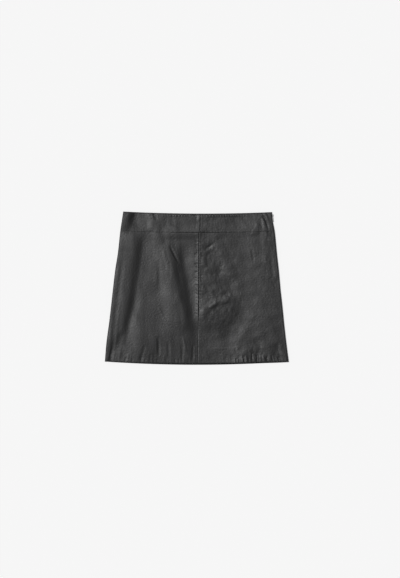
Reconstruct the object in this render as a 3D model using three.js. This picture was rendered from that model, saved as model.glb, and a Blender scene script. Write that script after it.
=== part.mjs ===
// Leather mini skirt, laid flat on its back on a surface. Millimetres.
// X runs to the viewer's right, Y towards the waist, Z up from the surface.
// The origin is on the surface, in the middle of the skirt's outline.

import * as THREE from "three";

// Thickness of the walls
const LEATHER = 1.2;
const WAISTBAND = 2.0;
const HEM = 2.0;

// Clear distances
const SEAM_GAP = 0.3;
const ZIP_GAP = 1.4;

// Lengths, measured down from the waist edge at the side
const LENGTH = 375;
const WAISTBAND_DEPTH = 47.8;
const TURN_UP = 40;
const TURN_UP_FADE = 8;
const ZIP_LENGTH = 185;
const ZIP_FADE = 15;

// Waist edge and hem: where they lie at mid width, and how far they curve towards the sides
const WAIST_EDGE = { y: 186.3, curve: 4.3, tilt: -0.8, halfWidth: 186 };
const BACK_HEM = { y: -191.6, curve: 8.0, halfWidth: 230 };
const FRONT_HEM_LIFT = { middle: 2.6, side: 0.5 };

// Half widths of the skirt laid flat
const SECTIONS = [
  { below: 0, left: 184.2, right: 187.9 },
  { below: 20, left: 187.2, right: 189.6 },
  { below: 50, left: 191.6, right: 195.0 },
  { below: 102, left: 197.3, right: 200.2 },
  { below: 147, left: 204.3, right: 205.1 },
  { below: 192, left: 209.6, right: 209.2 },
  { below: 237, left: 214.6, right: 214.2 },
  { below: 282, left: 219.9, right: 218.7 },
  { below: 327, left: 226.0, right: 223.8 },
  { below: 375, left: 230.0, right: 230.0 },
];

// Centre front seam, which leans a little, and the waistband's own seam above it
const WAISTBAND_SEAM_X = 7.9;
const PANEL_SEAM = [
  { below: 47, x: 4.8 },
  { below: 120, x: 4.4 },
  { below: 240, x: 3.9 },
  { below: 375, x: 2.3 },
];

// Height of the front's outer face over the surface, and how far folds may lift or lower it
const WAISTBAND_LEVEL = { height: 5.4, swing: 0.95 };
const PANEL_LEVELS = [
  { below: 47, height: 4.8, swing: 1.0 },
  { below: 90, height: 4.75, swing: 1.55 },
  { below: 255, height: 4.7, swing: 1.65 },
  { below: 305, height: 4.95, swing: 1.35 },
  { below: 335, height: 5.4, swing: 0.95 },
  { below: 375, height: 6.2, swing: 1.7 },
];

// Folds of the front: each runs from one point to another, drawn towards a point between them
const FOLDS = [
  { name: "left crest", from: [-160, 112], by: [-171, 25], to: [-202, -132], half: 21, rise: 1.3 },
  { name: "left valley", from: [-120, 124], by: [-126, -8], to: [-214, -165], half: 20, rise: -2.2 },
  { name: "left plateau", from: [-92, 95], by: [-104, 10], to: [-112, -55], half: 27, rise: 0.5 },
  { name: "left hem swell", from: [-130, -62], by: [-138, -120], to: [-134, -195], half: 44, rise: 2.1 },
  { name: "middle crest", from: [-74, 112], by: [-47, -37], to: [-18, -162], half: 20, rise: 1.6 },
  { name: "middle valley", from: [-46, 112], by: [-8, 29], to: [0, -118], half: 19, rise: -1.7 },
  { name: "centre hem hollow", from: [6, -125], by: [55, -135], to: [66, -195], half: 50, rise: -2.0 },
  { name: "right valley", from: [80, -118], by: [112, -82], to: [129, -8], half: 30, rise: -1.4 },
  { name: "right swell", from: [150, 60], by: [168, -60], to: [140, -190], half: 42, rise: 0.9 },
  { name: "zip side crest", from: [174, 170], by: [180, 90], to: [190, 20], half: 16, rise: 0.7 },
  { name: "waist dent", from: [-160, 170], by: [-146, 158], to: [-136, 176], half: 26, rise: -1.1 },
  { name: "waist rise", from: [-116, 182], by: [-100, 150], to: [-96, 120], half: 18, rise: 0.5 },
  { name: "upper right dent", from: [30, 92], by: [60, 40], to: [80, 0], half: 26, rise: -0.6 },
  { name: "right ridge", from: [18, -56], by: [42, -28], to: [98, -24], half: 13, rise: 0.6 },
];
const FOLD_STEPS = 10;
const SIDE_CALM = { start: 5, full: 20 };

// The pressed seam allowances lift the leather beside the centre seam, and the stitches pull it in
const SEAM_RIDGE = { half: 10.5, panel: 0.6, waistband: 0.8 };
const SEAM_DITCH = { half: 2.4, depth: 0.7 };
const EDGE_ROUND = [
  { inset: 0, drop: 1.0 },
  { inset: 0.7, drop: 0.35 },
  { inset: 2, drop: 0 },
];
const SEAM_ROUND = [
  { inset: 0, drop: 0.5 },
  { inset: 1.4, drop: 0.15 },
  { inset: 3.5, drop: 0 },
];

// The sides are rolled: front and back each turn a quarter of an ellipse and meet at mid height
const ROLL_RADIUS = 3;
const ROLL_TURNS = [0, Math.PI / 6, Math.PI / 3, Math.PI / 2];

// Cells of the walls
const FRONT_FIELD_COLUMNS = 17;
const BACK_FIELD_COLUMNS = 22;
const SEAM_COLUMNS = [10.5, 6, 2.4, 1.1];
const FRONT_ROW_STEP = 13;
const BACK_ROW_STEP = 40;

// Concealed zip in the side seam on the viewer's right
const ZIP_TAPE = { thickness: 0.6, width: 16, coilInset: 4.5, top: 3, steps: 12 };
const SLIDER = { below: 8, thickness: 0.8, bodyWidth: 5.5, bodyHalf: 5, inset: 3, neckHalf: 2.6 };
const BRIDGE = { windowStart: 0.3, windowEnd: 2.0, windowHalf: 2.1, outer: 2.7 };
const PULL_TAB = {
  thickness: 0.8,
  bar: 0.4,
  windowHalf: 0.8,
  windowEnd: 3.5,
  neckHalf: 1.5,
  endRadius: 2.1,
  length: 16.5,
  bevel: 0.12,
  lean: THREE.MathUtils.degToRad(6),
};

const MATERIALS = {
  leather: new THREE.MeshStandardMaterial({ color: 0x38383a, roughness: 0.5, metalness: 0 }),
  zipTape: new THREE.MeshStandardMaterial({ color: 0x161617, roughness: 0.9, metalness: 0 }),
  zipMetal: new THREE.MeshStandardMaterial({ color: 0x1f1f21, roughness: 0.35, metalness: 0.6 }),
};

const lerp = THREE.MathUtils.lerp;
const smoothstep = THREE.MathUtils.smoothstep;

// A soft bump: 1 in the middle, 0 from a share of 1 on
function bump(share) {
  return Math.abs(share) < 1 ? (1 - share * share) ** 2 : 0;
}

// A table's column at a place between its rows, along a curve without corners
function read(rows, column, below) {
  const last = rows.length - 1;
  const next = rows.findIndex((row) => row.below > below);
  const i = next < 0 ? last - 1 : Math.max(next - 1, 0);
  const slope = (k) => {
    const before = rows[Math.max(k - 1, 0)];
    const after = rows[Math.min(k + 1, last)];
    return (after[column] - before[column]) / (after.below - before.below);
  };
  const step = rows[i + 1].below - rows[i].below;
  const t = THREE.MathUtils.clamp((below - rows[i].below) / step, 0, 1);
  const start = (1 + 2 * t) * (1 - t) ** 2 * rows[i][column] + t * (1 - t) ** 2 * step * slope(i);
  const end = t * t * (3 - 2 * t) * rows[i + 1][column] - t * t * (1 - t) * step * slope(i + 1);
  return start + end;
}

// Outline

function waistEdge(x) {
  const share = x / WAIST_EDGE.halfWidth;
  return WAIST_EDGE.y + WAIST_EDGE.curve * share * share + WAIST_EDGE.tilt * share;
}

function backHem(x) {
  return BACK_HEM.y + BACK_HEM.curve * (x / BACK_HEM.halfWidth) ** 2;
}

function frontHem(x) {
  const towardsSide = Math.min((x / BACK_HEM.halfWidth) ** 2, 1);
  return backHem(x) + lerp(FRONT_HEM_LIFT.middle, FRONT_HEM_LIFT.side, towardsSide);
}

function lineAt(x, below, hem) {
  return lerp(waistEdge(x), hem(x), below / LENGTH);
}

function sideX(side, below) {
  return side < 0 ? -read(SECTIONS, "left", below) : read(SECTIONS, "right", below);
}

// Heights

function distanceToFold(fold, x, y) {
  let nearest = Infinity;
  for (let i = 0; i < fold.points.length - 1; i += 1) {
    const a = fold.points[i];
    const b = fold.points[i + 1];
    const along = b.clone().sub(a);
    const t = ((x - a.x) * along.x + (y - a.y) * along.y) / along.lengthSq();
    const foot = a.clone().addScaledVector(along, THREE.MathUtils.clamp(t, 0, 1));
    nearest = Math.min(nearest, Math.hypot(x - foot.x, y - foot.y));
  }
  return nearest;
}

const foldLines = FOLDS.map((fold) => {
  const corners = [fold.from, fold.by, fold.to].map(([x, y]) => new THREE.Vector2(x, y));
  const points = new THREE.QuadraticBezierCurve(...corners).getPoints(FOLD_STEPS);
  return { points, half: fold.half, rise: fold.rise };
});

function foldHeight(x, y) {
  return foldLines.reduce((sum, fold) => {
    return sum + fold.rise * bump(distanceToFold(fold, x, y) / fold.half);
  }, 0);
}

function levelAt(band, below) {
  if (band) return WAISTBAND_LEVEL;
  return { height: read(PANEL_LEVELS, "height", below), swing: read(PANEL_LEVELS, "swing", below) };
}

function thicknessAt(band, below) {
  if (band) return WAISTBAND;
  const edge = LENGTH - TURN_UP;
  return lerp(LEATHER, HEM, smoothstep(below, edge - TURN_UP_FADE / 2, edge + TURN_UP_FADE / 2));
}

// Height of the front's outer face before seams: folds fade out towards the rolled sides
function frontHeight(band, x, y, below) {
  const level = levelAt(band, below);
  const toSide = Math.min(x - sideX(-1, below), sideX(1, below) - x);
  const calm = smoothstep(toSide, SIDE_CALM.start, SIDE_CALM.full);
  return level.height + level.swing * Math.tanh((calm * foldHeight(x, y)) / level.swing);
}

function sideGap(side, below) {
  if (side < 0) return SEAM_GAP;
  return lerp(ZIP_GAP, SEAM_GAP, smoothstep(below, ZIP_LENGTH, ZIP_LENGTH + ZIP_FADE));
}

// Solids

// A closed wall from two grids of points: outer and inner, both rows of columns.
// flip turns the faces over for a wall whose outer side looks down.
function wallGeometry(outer, inner, flip) {
  const rows = outer.length;
  const columns = outer[0].length;
  const positions = [...outer.flat(), ...inner.flat()].flatMap((p) => [p.x, p.y, p.z]);
  const outerAt = (r, c) => r * columns + c;
  const innerAt = (r, c) => rows * columns + r * columns + c;
  const triangles = [];
  const quad = (a, b, c, d) => {
    triangles.push(...(flip ? [a, c, b, a, d, c] : [a, b, c, a, c, d]));
  };
  for (let r = 0; r < rows - 1; r += 1) {
    for (let c = 0; c < columns - 1; c += 1) {
      quad(outerAt(r, c), outerAt(r + 1, c), outerAt(r + 1, c + 1), outerAt(r, c + 1));
      quad(innerAt(r, c), innerAt(r, c + 1), innerAt(r + 1, c + 1), innerAt(r + 1, c));
    }
    const end = columns - 1;
    quad(outerAt(r, 0), innerAt(r, 0), innerAt(r + 1, 0), outerAt(r + 1, 0));
    quad(outerAt(r, end), outerAt(r + 1, end), innerAt(r + 1, end), innerAt(r, end));
  }
  for (let c = 0; c < columns - 1; c += 1) {
    const end = rows - 1;
    quad(outerAt(0, c), outerAt(0, c + 1), innerAt(0, c + 1), innerAt(0, c));
    quad(outerAt(end, c), innerAt(end, c), innerAt(end, c + 1), outerAt(end, c + 1));
  }
  const geometry = new THREE.BufferGeometry();
  geometry.setAttribute("position", new THREE.Float32BufferAttribute(positions, 3));
  geometry.setIndex(triangles);
  geometry.computeVertexNormals();
  return geometry;
}

// Rows from one line to another: the rounded ends first, then even steps between them
function rowsBetween(start, end, startRound, endRound, step, extra = []) {
  const first = startRound.map((round) => ({ below: start + round.inset, drop: round.drop }));
  const last = endRound.map((round) => ({ below: end - round.inset, drop: round.drop })).reverse();
  const from = first[first.length - 1].below;
  const to = last[0].below;
  const count = Math.max(Math.round((to - from) / step), 1);
  const field = [];
  for (let i = 1; i < count; i += 1) {
    field.push({ below: lerp(from, to, i / count), drop: 0 });
  }
  const near = (row) => extra.some((below) => Math.abs(row.below - below) < TURN_UP_FADE / 2);
  const added = extra.map((below) => ({ below, drop: 0 }));
  return [...first, ...field.filter((row) => !near(row)), ...added, ...last].sort(
    (a, b) => a.below - b.below,
  );
}

function hemRows(step) {
  const edge = LENGTH - TURN_UP;
  const lines = [edge - TURN_UP_FADE / 2, edge + TURN_UP_FADE / 2];
  const start = WAISTBAND_DEPTH + SEAM_GAP / 2;
  return rowsBetween(start, LENGTH, SEAM_ROUND, EDGE_ROUND, step, lines);
}

function waistbandRows(step) {
  return rowsBetween(0, WAISTBAND_DEPTH - SEAM_GAP / 2, EDGE_ROUND, SEAM_ROUND, step);
}

function seamX(band, below) {
  return band ? WAISTBAND_SEAM_X : read(PANEL_SEAM, "x", below);
}

// A point of the rolled side. turn 0 is the seam at mid height, a right angle the flat wall.
function rollPoint(side, below, turn, depth, wallZ, seamZ, hem) {
  const radius = ROLL_RADIUS - depth;
  const x = sideX(side, below) - side * (depth + radius * (1 - Math.cos(turn)));
  return new THREE.Vector3(x, lineAt(x, below, hem), lerp(seamZ, wallZ, Math.sin(turn)));
}

// One front piece, from the rolled side to the centre seam
function frontWall(side, band, rows) {
  const outer = [];
  const inner = [];
  for (const { below, drop } of rows) {
    const thickness = thicknessAt(band, below);
    const level = levelAt(band, below).height;
    const seamZ = level / 2 + sideGap(side, below) / 2;
    const innerZ = Math.max(level - thickness, seamZ);
    const outerRow = [];
    const innerRow = [];
    for (const turn of ROLL_TURNS) {
      outerRow.push(rollPoint(side, below, turn, 0, level - drop, seamZ, frontHem));
      innerRow.push(rollPoint(side, below, turn, thickness, innerZ, seamZ, frontHem));
    }
    const seam = seamX(band, below);
    const fieldStart = sideX(side, below) - side * ROLL_RADIUS;
    const fieldEnd = seam + side * SEAM_COLUMNS[0];
    const xs = [];
    for (let c = 1; c <= FRONT_FIELD_COLUMNS; c += 1) {
      xs.push(lerp(fieldStart, fieldEnd, c / FRONT_FIELD_COLUMNS));
    }
    for (const distance of [...SEAM_COLUMNS.slice(1), SEAM_GAP / 2]) {
      xs.push(seam + side * distance);
    }
    for (const x of xs) {
      const y = lineAt(x, below, frontHem);
      const height = frontHeight(band, x, y, below);
      const toSeam = Math.abs(x - seam);
      const ridge = (band ? SEAM_RIDGE.waistband : SEAM_RIDGE.panel) * bump(toSeam / SEAM_RIDGE.half);
      const ditch = SEAM_DITCH.depth * bump(toSeam / SEAM_DITCH.half);
      outerRow.push(new THREE.Vector3(x, y, height + ridge - ditch - drop));
      innerRow.push(new THREE.Vector3(x, y, height - thickness));
    }
    outer.push(outerRow);
    inner.push(innerRow);
  }
  return wallGeometry(outer, inner, side > 0);
}

// A back piece lies flat on the surface, rolled up at both sides
function backWall(band, rows) {
  const outer = [];
  const inner = [];
  for (const { below, drop } of rows) {
    const thickness = thicknessAt(band, below);
    const level = levelAt(band, below).height;
    const outerRow = [];
    const innerRow = [];
    const addRoll = (side, turns) => {
      const seamZ = level / 2 - sideGap(side, below) / 2;
      const innerSeamZ = seamZ - drop / 2;
      const innerZ = Math.min(thickness, seamZ) - drop / 2;
      for (const turn of turns) {
        outerRow.push(rollPoint(side, below, turn, 0, 0, seamZ, backHem));
        innerRow.push(rollPoint(side, below, turn, thickness, innerZ, innerSeamZ, backHem));
      }
    };
    addRoll(-1, ROLL_TURNS);
    const start = sideX(-1, below) + ROLL_RADIUS;
    const end = sideX(1, below) - ROLL_RADIUS;
    for (let c = 1; c < BACK_FIELD_COLUMNS; c += 1) {
      const x = lerp(start, end, c / BACK_FIELD_COLUMNS);
      const y = lineAt(x, below, backHem);
      outerRow.push(new THREE.Vector3(x, y, 0));
      innerRow.push(new THREE.Vector3(x, y, thickness - drop / 2));
    }
    addRoll(1, [...ROLL_TURNS].reverse());
    outer.push(outerRow);
    inner.push(innerRow);
  }
  return wallGeometry(outer, inner, true);
}

// A flat plate from an outline in X and Y, centred on its own mid height
function plateGeometry(shape, thickness, bevel = 0) {
  const geometry = new THREE.ExtrudeGeometry(shape, {
    depth: thickness - 2 * bevel,
    bevelEnabled: bevel > 0,
    bevelThickness: bevel,
    bevelSize: bevel,
    bevelOffset: -bevel,
    bevelSegments: 1,
    curveSegments: 6,
  });
  geometry.translate(0, 0, bevel - thickness / 2);
  return geometry;
}

// Height of the gap that the zip closes
function zipZ() {
  return WAISTBAND_LEVEL.height / 2;
}

// The tape follows the side seam, with a square notch in its coil edge for the slider
function zipTapeGeometry() {
  const shape = new THREE.Shape();
  const notchEnd = SLIDER.below + SLIDER.bodyHalf + SEAM_GAP;
  const notchX = sideX(1, SLIDER.below) - SLIDER.inset - SLIDER.bodyWidth - SEAM_GAP;
  const besideSeam = (below, inset) => {
    const x = sideX(1, below) - inset;
    return [x, lineAt(x, below, frontHem)];
  };
  const innerInset = ZIP_TAPE.coilInset + ZIP_TAPE.width;
  shape.moveTo(notchX, lineAt(notchX, ZIP_TAPE.top, frontHem));
  for (let i = 0; i <= ZIP_TAPE.steps; i += 1) {
    shape.lineTo(...besideSeam(lerp(ZIP_TAPE.top, ZIP_LENGTH, i / ZIP_TAPE.steps), innerInset));
  }
  for (let i = ZIP_TAPE.steps; i >= 0; i -= 1) {
    shape.lineTo(...besideSeam(lerp(notchEnd, ZIP_LENGTH, i / ZIP_TAPE.steps), ZIP_TAPE.coilInset));
  }
  shape.lineTo(notchX, lineAt(notchX, notchEnd, frontHem));
  return plateGeometry(shape, ZIP_TAPE.thickness);
}

// Outline in the slider's own frame: x 0 at the side's edge, y 0 at the slider's middle
function sliderGeometry() {
  const { bodyWidth, bodyHalf, inset, neckHalf, thickness } = SLIDER;
  const shape = new THREE.Shape();
  shape.moveTo(-inset - bodyWidth, -bodyHalf + 1.5);
  shape.lineTo(-inset - bodyWidth + 1.5, -bodyHalf);
  shape.lineTo(-inset, -bodyHalf);
  shape.lineTo(-inset, -neckHalf);
  shape.lineTo(BRIDGE.outer - 0.8, -neckHalf);
  shape.quadraticCurveTo(BRIDGE.outer, -neckHalf, BRIDGE.outer, -neckHalf + 0.8);
  shape.lineTo(BRIDGE.outer, neckHalf - 0.8);
  shape.quadraticCurveTo(BRIDGE.outer, neckHalf, BRIDGE.outer - 0.8, neckHalf);
  shape.lineTo(-inset, neckHalf);
  shape.lineTo(-inset, bodyHalf);
  shape.lineTo(-inset - bodyWidth + 1.5, bodyHalf);
  shape.lineTo(-inset - bodyWidth, bodyHalf - 1.5);
  const window = new THREE.Path();
  window.moveTo(BRIDGE.windowStart, -BRIDGE.windowHalf);
  window.lineTo(BRIDGE.windowStart, BRIDGE.windowHalf);
  window.lineTo(BRIDGE.windowEnd, BRIDGE.windowHalf);
  window.lineTo(BRIDGE.windowEnd, -BRIDGE.windowHalf);
  shape.holes.push(window);
  return plateGeometry(shape, thickness);
}

// Drop-shaped pull with a window that the slider's bridge passes through.
// Its outline is drawn in X and Y with the bar at the origin, then stood on edge.
function pullTabGeometry() {
  const { bar, windowHalf, windowEnd, neckHalf, endRadius, length, thickness, bevel } = PULL_TAB;
  const endY = -length + endRadius;
  const shape = new THREE.Shape();
  shape.moveTo(-neckHalf, bar);
  shape.lineTo(-neckHalf, -windowEnd);
  shape.lineTo(-endRadius, endY);
  shape.absarc(0, endY, endRadius, Math.PI, 2 * Math.PI, false);
  shape.lineTo(neckHalf, -windowEnd);
  shape.lineTo(neckHalf, bar);
  const window = new THREE.Path();
  window.moveTo(-windowHalf, -bar);
  window.lineTo(windowHalf, -bar);
  window.lineTo(windowHalf, -windowEnd);
  window.lineTo(-windowHalf, -windowEnd);
  shape.holes.push(window);
  return plateGeometry(shape, thickness, bevel).rotateY(Math.PI / 2);
}

function piece(name, geometry, material) {
  const mesh = new THREE.Mesh(geometry, material);
  mesh.name = name;
  return mesh;
}

function atZip(mesh, outward) {
  const x = sideX(1, SLIDER.below);
  mesh.position.set(x + outward, lineAt(x, SLIDER.below, frontHem), zipZ());
  return mesh;
}

const skirt = new THREE.Group();

const frontRows = hemRows(FRONT_ROW_STEP);
const bandRows = waistbandRows(FRONT_ROW_STEP);
skirt.add(
  piece("front_left", frontWall(-1, false, frontRows), MATERIALS.leather),
  piece("front_right", frontWall(1, false, frontRows), MATERIALS.leather),
  piece("waistband_front_left", frontWall(-1, true, bandRows), MATERIALS.leather),
  piece("waistband_front_right", frontWall(1, true, bandRows), MATERIALS.leather),
  piece("back_panel", backWall(false, hemRows(BACK_ROW_STEP)), MATERIALS.leather),
  piece("waistband_back", backWall(true, bandRows), MATERIALS.leather),
);

const zipTape = piece("zip_tape", zipTapeGeometry(), MATERIALS.zipTape);
zipTape.position.z = zipZ();
const zipSlider = atZip(piece("zip_slider", sliderGeometry(), MATERIALS.zipMetal), 0);
const pullTab = piece("zip_pull_tab", pullTabGeometry(), MATERIALS.zipMetal);
atZip(pullTab, (BRIDGE.windowStart + BRIDGE.windowEnd) / 2);
pullTab.rotation.z = PULL_TAB.lean;
skirt.add(zipTape, zipSlider, pullTab);

export default skirt;
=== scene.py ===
"""Leather mini skirt, laid flat on its back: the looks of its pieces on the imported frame.

Tables and shape functions are in millimetres, and Blender's meshes in metres.
X runs to the viewer's right, Y towards the waist and Z up from the surface.
"""

import math
from typing import NamedTuple

import bpy
import numpy as np
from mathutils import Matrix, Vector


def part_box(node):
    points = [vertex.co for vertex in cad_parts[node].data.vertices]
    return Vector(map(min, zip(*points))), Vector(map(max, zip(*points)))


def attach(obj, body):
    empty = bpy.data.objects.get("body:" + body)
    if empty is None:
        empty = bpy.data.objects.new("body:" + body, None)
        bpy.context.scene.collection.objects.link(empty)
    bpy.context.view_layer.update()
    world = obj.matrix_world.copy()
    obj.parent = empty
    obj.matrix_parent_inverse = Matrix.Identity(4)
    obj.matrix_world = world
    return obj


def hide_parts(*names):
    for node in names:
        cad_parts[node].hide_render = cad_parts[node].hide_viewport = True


bl_info = {
    "name": "Leather Mini Skirt",
    "version": (1, 0, 0),
    "blender": (4, 5, 0),
    "location": "3D View > Sidebar > Skirt",
    "description": "Leather, sewing, zip and studio of a mini skirt laid flat",
    "category": "Object",
}

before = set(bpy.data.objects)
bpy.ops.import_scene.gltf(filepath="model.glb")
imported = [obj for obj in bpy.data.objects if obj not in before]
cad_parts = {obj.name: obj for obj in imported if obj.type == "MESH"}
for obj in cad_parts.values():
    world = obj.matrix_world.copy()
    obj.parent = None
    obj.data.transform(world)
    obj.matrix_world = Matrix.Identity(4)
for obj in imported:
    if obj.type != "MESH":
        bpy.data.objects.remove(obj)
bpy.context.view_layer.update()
GARMENT = "garment"
MM = 0.001


class Section(NamedTuple):
    below: float
    left: float
    right: float


class SeamPoint(NamedTuple):
    below: float
    x: float


class Level(NamedTuple):
    below: float
    height: float


class Fold(NamedTuple):
    """A soft fold or crease along a curve from start to end, drawn towards by.

    fade and tail are the shares of its length over which it grows from nothing at its start
    and runs out at its end. west is its half width towards the viewer's left, where that
    differs from half.
    """

    name: str
    start: tuple
    by: tuple
    end: tuple
    half: float
    rise: float
    fade: float = 0.0
    west: float = 0.0
    tail: float = 0.0


# The cut, as in the part: lengths run down from the waist edge at the side
LENGTH = 375
WAISTBAND_DEPTH = 47.8
TURN_UP = 40
TURN_UP_FADE = 8
ZIP_LENGTH = 185
ZIP_FADE = 15
ZIP_GAP = 1.4
LEATHER = 1.2
WAISTBAND = 2.0
HEM = 2.0
WAIST_EDGE = {"y": 186.3, "curve": 4.3, "tilt": -0.8, "half_width": 186}
BACK_HEM = {"y": -191.6, "curve": 8.0, "half_width": 230, "right_drop": 1.3, "right_from": 150}
FRONT_HEM_LIFT = {"middle": 2.6, "side": 0.5, "left_power": 2, "right_power": 8}
SECTIONS = [
    Section(0, 184.2, 187.9),
    Section(20, 187.2, 189.6),
    Section(50, 191.6, 195.0),
    Section(102, 197.3, 200.2),
    Section(147, 204.3, 205.1),
    Section(192, 209.6, 209.2),
    Section(237, 214.6, 214.2),
    Section(282, 219.9, 218.7),
    Section(327, 226.0, 223.8),
    Section(375, 230.0, 230.0),
]
WAISTBAND_SEAM_X = 7.9
PANEL_SEAM = [
    SeamPoint(47, 4.8),
    SeamPoint(120, 4.4),
    SeamPoint(240, 3.9),
    SeamPoint(375, 2.3),
]
WAISTBAND_HEIGHT = 5.4
PANEL_LEVELS = [
    Level(47, 4.8),
    Level(90, 4.8),
    Level(200, 5.0),
    Level(255, 5.3),
    Level(305, 5.5),
    Level(335, 5.6),
    Level(375, 5.9),
]
ROLL_RADIUS = 3
ROLL_STEPS = 8

# How far the visible seams stand open
SEAM_GAP = 0.06

# Least room over the back, top of the folds, and top of the leather's unevenness on them
LEAST_GAP = 0.2
FOLD_TOP = 7.36
LEATHER_TOP = 7.54

# The higher the power, the closer folds come to their limits before they are held back
LIMIT_POWER = 4

# From here down the front makes room for the thick hem
HEM_NEARS = 280

# Small forms run out towards the sides: where they start, and where they are full
SIDE_CALM = {"front": (3, 7), "back": (4, 14)}

# Large folds of the front: those of the part, a little wider and deeper, and broad soft ones
FOLDS = [
    Fold("left crest", (-160, 160), (-176, -22), (-228, -218), 32, 2.7, 0.18, 100, 0.32),
    Fold("left valley", (-120, 154), (-125, 80), (-140, 6), 22, -0.35, 0.3, 0.0, 0.35),
    Fold("left valley lower", (-150, -14), (-163, -70), (-188, -130), 18, -0.35, 0.3, 0.0, 0.3),
    Fold("left valley foot", (-186, -100), (-201, -140), (-212, -176), 15, -0.8, 0.3, 0.0, 0.3),
    Fold("left rim trough", (-199, -30), (-206, -100), (-218, -196), 9, -0.8, 0.2),
    Fold("upper left rim trough", (-183, 84), (-193, 10), (-200, -56), 9, -0.6, 0.3, 0.0, 0.3),
    Fold("left plateau", (-94, 95), (-108, 30), (-118, -30), 27, 0.3, 0.0, 0.0, 0.4),
    Fold("plateau hollow", (-112, 20), (-110, -40), (-98, -120), 34, -0.6, 0.3, 0.0, 0.3),
    Fold("left hem swell", (-120, -26), (-131, -100), (-156, -200), 56, 1.1, 0.95, 56),
    Fold("left hem slope", (-124, -30), (-138, -110), (-158, -206), 200, 1.7, 0.9, 50),
    Fold("middle crest", (-80, 128), (-51, -20), (-34, -122), 22, 2.0, 0.24, 41, 0.25),
    Fold("middle valley", (-40, 116), (-17, 10), (2, -140), 27, -1.5, 0.2, 19, 0.3),
    Fold("fall to the hem", (-104, -214), (-80, -214), (-50, -214), 108, -1.9),
    Fold("hem swell beside the seam", (-42, -90), (-36, -140), (-30, -205), 40, 0.35, 0.4, 60),
    Fold("seam valley", (-4, -72), (17, -140), (28, -206), 52, -1.05, 0.35, 46),
    Fold("centre hem hollow", (36, -62), (50, -130), (56, -206), 72, -1.3, 0.5, 76),
    Fold("belly", (-110, -40), (-40, -62), (30, -66), 52, 0.7),
    Fold("right valley", (78, -118), (110, -82), (127, -8), 33, -1.1, 0.0, 0.0, 0.5),
    Fold("right swell", (204, 130), (224, -100), (244, -330), 112, 2.8, 0.0, 0.0, 0.6),
    Fold("right rim slope", (189, 196), (211, 0), (233, -196), 6, -1.8),
    Fold("zip side crest", (198, 192), (206, 110), (211, 50), 30, 1.1),
    Fold("left waist ridge", (-177, 206), (-180, 176), (-202, 138), 29, 2.2, 0.0, 50, 0.35),
    Fold("left waist hollow", (-164, 152), (-146, 174), (-144, 212), 52, -1.3, 0.4, 24),
    Fold("zip corner swell", (178, 158), (184, 120), (186, 60), 16, 0.5, 0.2, 27, 0.3),
    Fold("waist rise", (-116, 182), (-100, 150), (-96, 120), 18, 0.5),
    Fold("waist seam swell", (-92, 138), (-50, 137), (-4, 140), 20, 0.9, 0.25),
    Fold("waist seam swell right", (20, 142), (90, 140), (150, 146), 20, 0.35),
    Fold("upper right dent", (30, 92), (60, 40), (80, 0), 26, -0.6),
    Fold("right ridge", (18, -58), (36, -38), (72, -28), 13, 0.6),
    Fold("hem bright flank", (112, -128), (117, -166), (118, -208), 34, 1.0, 0.5, 46),
]

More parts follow.
